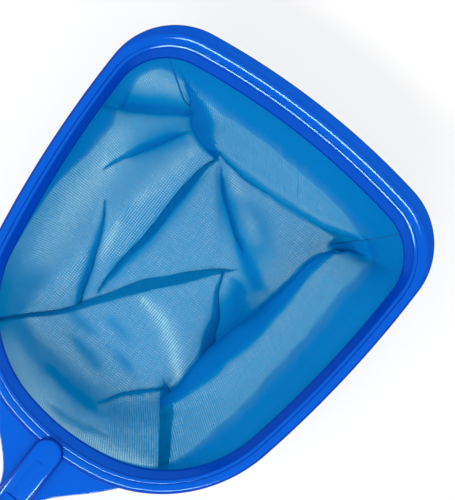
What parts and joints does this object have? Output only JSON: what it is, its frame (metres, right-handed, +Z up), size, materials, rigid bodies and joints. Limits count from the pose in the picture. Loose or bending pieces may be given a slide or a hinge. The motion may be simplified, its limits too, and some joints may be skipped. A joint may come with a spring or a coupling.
{
  "type": "leaf skimmer net head",
  "caption": "Deep-bag leaf skimmer head: moulded ring with a wide scoop lip, clamped mesh bag, and a spigot with a spring clip for a pole.",
  "frame": {"origin": "on the surface that the bag rests on, under the middle of the whole head", "axes": "+Z up out of the bag's mouth, +Y to the front lip, -Y to the pole end of the spigot, +X to the right seen from the pole"},
  "size_m": [0.415, 0.673, 0.1455],
  "materials": {
    "frame": "glossy moulded blue plastic",
    "clip": "moulded plastic, darker blue",
    "mesh": "fine open weave, see-through",
    "hem": "doubled weave",
    "cord": "braided cord",
    "seam": "folded and stitched weave",
    "screw": "bright stainless steel"
  },
  "bodies": {
    "head": {"outer_frame": "frame", "clamp_ring": "frame", "hem_band": "hem", "hem_cord": "cord", "bag_front_wall": "mesh", "bag_right_wall": "mesh", "bag_back_wall": "mesh", "bag_left_wall": "mesh", "bag_floor": "mesh", "seam_front_right": "seam", "seam_back_right": "seam", "seam_back_left": "seam", "seam_front_left": "seam", "spigot": "frame", "clip_bend": "clip", "ring_screw_01": "screw", "ring_screw_02": "screw", "ring_screw_03": "screw", "ring_screw_04": "screw", "ring_screw_05": "screw", "ring_screw_06": "screw", "ring_screw_07": "screw", "ring_screw_08": "screw", "ring_screw_09": "screw", "ring_screw_10": "screw", "ring_screw_11": "screw", "ring_screw_12": "screw", "ring_screw_13": "screw", "ring_screw_14": "screw", "spigot_screw_1": "screw", "spigot_screw_2": "screw"},
    "clip_left": {"clip_left_leg": "clip"},
    "clip_right": {"clip_right_leg": "clip"}
  },
  "joints": [
    {"name": "clip_left_squeeze", "type": "hinge", "parent": "head", "child": "clip_left", "pos_m": [-0.004, -0.3275, 0.126], "axis": [0, 0, -1], "range_deg": [0, 4.7], "stiffness_Nm_per_rad": 3},
    {"name": "clip_right_squeeze", "type": "hinge", "parent": "head", "child": "clip_right", "pos_m": [0.004, -0.3275, 0.126], "axis": [0, 0, 1], "range_deg": [0, 4.7], "stiffness_Nm_per_rad": 3}
  ]
}
